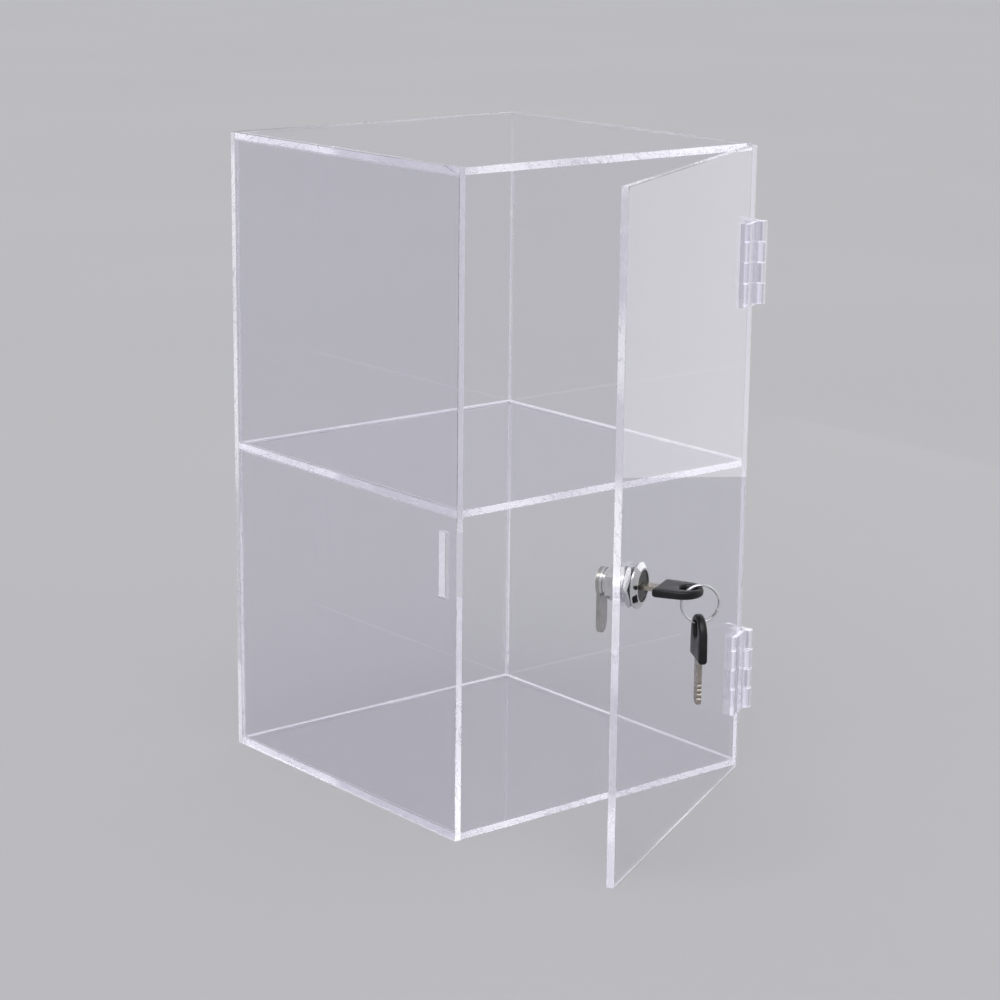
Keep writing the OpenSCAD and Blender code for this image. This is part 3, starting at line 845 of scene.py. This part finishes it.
@dataclass
class Keys:
    """The key in the lock, the split ring and the spare key that hangs from it."""

    palette: Palette
    stand: float = 14.8 * MM
    bow_len: float = 22.5 * MM
    bow_w: float = 21 * MM
    bow_t: float = 4.2 * MM
    hole_r: float = 4.4 * MM
    strap: float = 2.8 * MM
    round_r: float = 1.5 * MM
    shoulder_r: float = 1.2 * MM
    blade_w: float = 7.4 * MM
    blade_t: float = 2.2 * MM
    blade_len: float = 22.6 * MM
    blade_root: float = 2.5 * MM
    point: float = 1.6 * MM
    first_cut: float = 12 * MM
    cut_pitch: float = 2.3 * MM
    cut_count: int = 5
    cut_r: float = 0.8 * MM
    cut_tip: float = 0.3 * MM
    cut_deep: float = 0.5 * MM
    notch_half: float = 0.75 * MM
    notch_deep: float = 0.5 * MM
    ring_r: float = 9.3 * MM
    wire_r: float = 0.55 * MM
    spare_gap: float = 0.5 * MM
    cross_angle: float = math.radians(38)
    wire_start: float = math.radians(20)
    turn_gap: float = 1.8
    end_rings: float = 3.0
    end_share: float = 0.25
    seam: float = 1e-7

    def outline(self, samples: int) -> tuple[Array, Array]:
        """Distance from the middle of the bow's hole to its outline, all the way round.

        The outline is a rectangle with rounded shoulders and a half circle on top. Its
        points are turned to angle and distance about the hole and read at even angles.

        Args:
            samples: number of angles.

        Returns:
            The angles, from the direction of the bow's end, and the distances.
        """
        half, r = self.bow_w / 2, self.shoulder_r
        arc = np.linspace(0, np.pi, 400)
        turn = np.linspace(0, np.pi / 2, 60)
        top = np.stack([half * np.cos(arc), self.bow_len - half + half * np.sin(arc)], 1)
        flank, foot = 80, 120
        left = np.stack([np.full(flank, -half), np.linspace(self.bow_len - half, r, flank)], 1)
        corner_l = np.stack([-half + r - r * np.cos(turn), r - r * np.sin(turn)], 1)
        base = np.stack([np.linspace(-half + r, half - r, foot), np.zeros(foot)], 1)
        corner_r = np.stack([half - r + r * np.sin(turn), r - r * np.cos(turn)], 1)
        right = np.stack([np.full(flank, half), np.linspace(r, self.bow_len - half, flank)], 1)
        loop = np.concatenate([top, left, corner_l, base, corner_r, right])
        loop = loop - [0, self.hole_z]
        angle = np.arctan2(loop[:, 0], loop[:, 1])
        order = np.argsort(angle)
        even = np.linspace(-np.pi, np.pi, samples, endpoint=False)
        return even, np.interp(even, angle[order], np.hypot(*loop[order].T), period=2 * np.pi)

    @property
    def hole_z(self) -> float:
        """Height of the middle of the hole above the bow's shoulder."""
        return self.bow_len - self.strap - self.hole_r

    def bow(self, name: str, node: str, body: str, place: Place,
            finish: bpy.types.Material) -> None:
        """Makes a bow: a rounded section swept around its hole and stretched to its outline.

        A point lies at the hole's radius where its share is 0 and at the outline where its
        share is 1, moved in by the rounding radius times one minus the cos of an angle.

        Args:
            name: name of the piece.
            node: CAD node that the piece stands for.
            body: body that it rides on.
            place: the bow's shoulder, with Z along the key to the bow's end.
            finish: material of the bow.
        """
        angle, reach = self.outline(320)
        steps = 7
        turn = np.linspace(0, np.pi / 2, steps)
        r, half = self.round_r, self.bow_t / 2
        corners = [(1, -np.sin(turn[::-1]), 1), (1, np.sin(turn), 1), (0, np.sin(turn[::-1]), -1),
                   (0, -np.sin(turn), -1)]
        share = np.concatenate([np.full(steps, c[0]) for c in corners])
        rise = np.concatenate([np.sign(c[1].sum()) * (half - r) + r * c[1] for c in corners])
        drawn_in = [c[2] * r * (np.sqrt(np.clip(1 - c[1] ** 2, 0, 1)) - 1) for c in corners]
        inset = np.concatenate(drawn_in)
        rho = self.hole_r * (1 - share) + reach[:, None] * share + inset
        local = np.stack([rho * np.sin(angle)[:, None], np.broadcast_to(rise, rho.shape),
                          self.hole_z + rho * np.cos(angle)[:, None]], -1)
        faces = grid_faces(len(angle), len(share), True, True)
        piece = surface(name, place.at(local), faces, finish)
        settle(piece, body, "black_plastic", node)

    def blade(self, name: str, node: str, body: str, place: Place, palette: Palette) -> None:
        """Makes a blade: a bevelled rectangle carried along the key and dented by its cuts.

        Each broad face sinks by the cut's depth times the share of the cut's radius that is
        left, around five spots. Each narrow face sinks the same way along the key alone, in
        shallow notches beside them. The half width shrinks in a straight line over the tip.

        Args:
            name: name of the piece.
            node: CAD node that the piece stands for.
            body: body that it rides on.
            place: the bow's shoulder, with Z along the key to the bow's end.
            palette: the shared effects.
        """
        along = np.linspace(-self.blade_len, self.blade_root, 240)
        cuts = -self.first_cut - self.cut_pitch * np.arange(self.cut_count)
        half = self.blade_w / 2 - np.clip(self.point - self.blade_len - along, 0, self.point)
        near = np.abs(along[:, None] - cuts).min(1)
        notch = self.notch_deep * np.clip(1 - near / self.notch_half, 0, 1)
        across, side = np.linspace(-1, 1, 31), np.linspace(-1, 1, 7)
        flat, edge, none = np.ones_like(across), np.ones_like(side), np.zeros_like(side)
        ratio = np.concatenate([across, edge, -across, -edge])
        level = np.concatenate([-flat, side, flat, -side])
        broad = np.concatenate([flat, none, flat, none])
        x = ratio * (half - notch * 0.5)[:, None] - (1 - broad) * ratio * (notch * 0.5)[:, None]
        spot = np.hypot(x, near[:, None])
        dent = self.cut_deep * np.clip((self.cut_r - spot) / (self.cut_r - self.cut_tip), 0, 1)
        y = level * (self.blade_t / 2 - broad * dent)
        ring = len(ratio)
        points = np.stack([x, y, np.broadcast_to(along[:, None], x.shape)], -1)
        faces = grid_faces(len(along), ring, False, True).tolist()
        last = (len(along) - 1) * ring
        faces += [list(range(ring)), list(range(last, last + ring))]
        finish = BrightMetal(f"Milled nickel {node}", (0.46, 0.415, 0.36, 1),
                             (0.34, 0.31, 0.275, 1), 0.22, 0.36, tuple(place.out), 5200.0,
                             0.16).make(palette)
        piece = surface(name, place.at(points), faces, finish, smooth=False, weld=self.seam)
        settle(piece, body, "nickel", node)

    def ring(self, place: Place, finish: bpy.types.Material) -> None:
        """Makes the split ring: wire wound twice round, crossing over within a short arc.

        The path is a circle walked twice. Its offset along the ring's axis goes smoothly
        from one side to the other while the first turn passes under the second's start.

        Args:
            place: the middle of the ring's lowest point.
            finish: material of the wire.
        """
        turn = np.linspace(0, 4 * np.pi - self.cross_angle, 260)
        step = np.clip((turn - (2 * np.pi - self.cross_angle)) / self.cross_angle, 0, 1)
        lift = (step * step * (3 - 2 * step) - 0.5) * self.turn_gap * self.wire_r
        angle = self.wire_start + turn
        local = np.stack([self.ring_r * np.cos(angle), self.ring_r * (1 + np.sin(angle)), lift], -1)
        ends = np.minimum(np.arange(len(turn)), np.arange(len(turn))[::-1])
        radius = self.wire_r * np.sqrt(np.clip(ends / self.end_rings + self.end_share, 0, 1))
        points, faces = tube(place.at(local), radius, 18)
        piece = surface("wound_ring", points, faces, finish)
        settle(piece, "ring", "chrome", "split_ring")

    def build(self, lock: Place, ring: Place) -> None:
        """Makes both bows, the split ring and both blades."""
        plastic = SatinBlack("Moulded bow").make(self.palette)
        steel = BrightMetal("Ring steel", rough=0.09).make(self.palette)
        self.bow("key_grip", "key_bow", "key", lock.moved(z=self.stand), plastic)
        hang = Place(ring.origin + UP * (self.wire_r + self.spare_gap + self.strap - self.bow_len),
                     -ring.out, -ring.side, UP)
        self.bow("spare_grip", "spare_bow", "spare_key", hang, plastic)
        self.ring(ring, steel)
        self.blade("key_shank", "key_blade", "key", lock.moved(z=self.stand), self.palette)
        self.blade("spare_shank", "spare_blade", "spare_key", hang, self.palette)


@dataclass
class Studio:
    """Pale floor, soft lamps and the camera.

    The camera's focal length is given in pixels of a picture as wide as the value named image.
    Its angles are in degrees.
    """

    focal: float = 2682.67
    image: float = 1000.0
    heading: float = -39.513
    tilt: float = 13.836
    roll: float = 0.632
    shift_right: float = 9.63 * MM
    shift_up: float = 144.10 * MM
    distance: float = 1529.98 * MM
    sensor: float = 36.0
    view_depth: float = 50.0
    sky_power: float = 1.5
    sky_spread: float = math.radians(50)
    sky_from: tuple = (-0.45, -0.35, 1.0)
    box_place: tuple = (0.80, 0.0, 0.40)
    box_target: tuple = (0.0, 0.0, 0.40)
    box_size: tuple = (1.1, 0.8)
    box_glow: float = 0.78
    room_low: tuple = (0.48, 0.48, 0.50, 1)
    room_high: tuple = (0.70, 0.70, 0.72, 1)
    floor_dark: tuple = (0.455, 0.455, 0.465, 1)
    floor_light: tuple = (0.48, 0.48, 0.49, 1)
    floor_reach: float = 12.0
    floor_drop: float = 0.1 * MM
    bounces: int = 64
    clear_bounces: int = 24

    def camera(self) -> None:
        """Places the camera from its heading, tilt and roll about the row frame's origin."""
        a, e, r = (math.radians(v) for v in (self.heading, self.tilt, self.roll))
        back = Vector((math.sin(a) * math.cos(e), -math.cos(a) * math.cos(e), math.sin(e)))
        right0 = (-back).cross(Vector(UP)).normalized()
        up0 = right0.cross(-back)
        right = right0 * math.cos(r) + up0 * math.sin(r)
        up = up0 * math.cos(r) - right0 * math.sin(r)
        data = bpy.data.cameras.new("Camera")
        data.sensor_width = self.sensor
        data.lens = self.focal / self.image * self.sensor
        data.clip_end = self.view_depth
        view = bpy.data.objects.new("Camera", data)
        where = right * self.shift_right + up * self.shift_up + back * self.distance
        view.matrix_world = Matrix((right, up, back)).transposed().to_4x4()
        view.matrix_world.translation = where
        bpy.context.scene.collection.objects.link(view)
        bpy.context.scene.camera = view

    def lamp(self, name: str, place: tuple, target: tuple, size: tuple, glow: float) -> None:
        """Adds a soft rectangular lamp that polished surfaces mirror.

        Args:
            name: name of the lamp.
            place: where it stands.
            target: the point that it faces.
            size: its width and height.
            glow: brightness of its face, where 1 is a white wall in full light.
        """
        data = bpy.data.lights.new(name, "AREA")
        data.shape = "RECTANGLE"
        data.size, data.size_y = size
        data.energy = glow * math.pi * size[0] * size[1]
        lamp = bpy.data.objects.new(name, data)
        lamp.location = place
        lamp.rotation_euler = (Vector(target) - Vector(place)).to_track_quat("-Z", "Y").to_euler()
        lamp.visible_camera = False
        lamp.visible_transmission = False
        lamp.visible_diffuse = False
        bpy.context.scene.collection.objects.link(lamp)

    def sky_lamp(self) -> None:
        """Adds the broad, even light from above, a little from the left and the front."""
        data = bpy.data.lights.new("Sky lamp", "SUN")
        data.energy = self.sky_power
        data.angle = self.sky_spread
        lamp = bpy.data.objects.new("Sky lamp", data)
        lamp.rotation_euler = Vector(self.sky_from).to_track_quat("Z", "Y").to_euler()
        bpy.context.scene.collection.objects.link(lamp)

    def floor(self) -> None:
        """Lays the pale floor, a hair's breadth under the case."""
        material, t, out = new_material("Pale floor")
        place = t.add("ShaderNodeTexCoord").outputs["Object"]
        cloud = t.add("ShaderNodeTexNoise", {"Vector": place, "Scale": 1.5, "Detail": 3.0})
        shade = t.add("ShaderNodeBsdfPrincipled", {
            "Base Color": t.blend(cloud.outputs[0], self.floor_dark, self.floor_light),
            "Roughness": 0.9, "Specular IOR Level": 0.1})
        t.tree.links.new(shade.outputs[0], out.inputs[0])
        far, low = self.floor_reach, -self.floor_drop
        corners = [(-far, -far, low), (far, -far, low), (far, far, low), (-far, far, low)]
        mesh = bpy.data.meshes.new("studio_floor")
        mesh.from_pydata(corners, [], [(0, 1, 2, 3)])
        mesh.materials.append(material)
        piece = bpy.data.objects.new("studio_floor", mesh)
        bpy.context.scene.collection.objects.link(piece)

    def world(self) -> None:
        """Surrounds the set with a soft grey room, lighter above than at the sides."""
        world = bpy.data.worlds.new("Soft room")
        world.use_nodes = True
        world.node_tree.nodes.clear()
        t = Tree(world.node_tree)
        out = t.add("ShaderNodeOutputWorld")
        sky = t.add("ShaderNodeTexCoord").outputs["Generated"]
        height = t.add("ShaderNodeSeparateXYZ", {0: sky}).outputs[2]
        glow = t.blend(t.ramp(height, -0.02, 0.8), self.room_low, self.room_high)
        light = t.add("ShaderNodeBackground", {0: glow, 1: 1.0})
        t.tree.links.new(light.outputs[0], out.inputs[0])
        bpy.context.scene.world = world

    def build(self) -> None:
        """Sets up the floor, the room, the lamps, the camera and the light's bounces."""
        self.floor()
        self.world()
        self.sky_lamp()
        self.lamp("Side softbox", self.box_place, self.box_target, self.box_size, self.box_glow)
        self.camera()
        scene = bpy.context.scene
        scene.view_settings.view_transform = "Standard"
        scene.cycles.max_bounces = self.bounces
        scene.cycles.transmission_bounces = self.bounces
        scene.cycles.glossy_bounces = self.bounces
        scene.cycles.transparent_max_bounces = self.clear_bounces
        scene.cycles.caustics_reflective = False
        scene.cycles.caustics_refractive = False


def main() -> None:
    """Builds the set and every piece."""
    logging.basicConfig(level=logging.INFO, format="%(name)s: %(message)s")
    Studio().build()
    palette = Palette(cut_edge_effect(), handling_effect(), turned_lines_effect())
    lock, ring = lock_place(), ring_place()
    Case(palette).build()
    Door(palette).build(lock)
    Hinges(palette).dress(lock)
    CamLock(palette).dress(lock)
    Keys(palette).build(lock, ring)


if __name__ == "__main__":
    main()
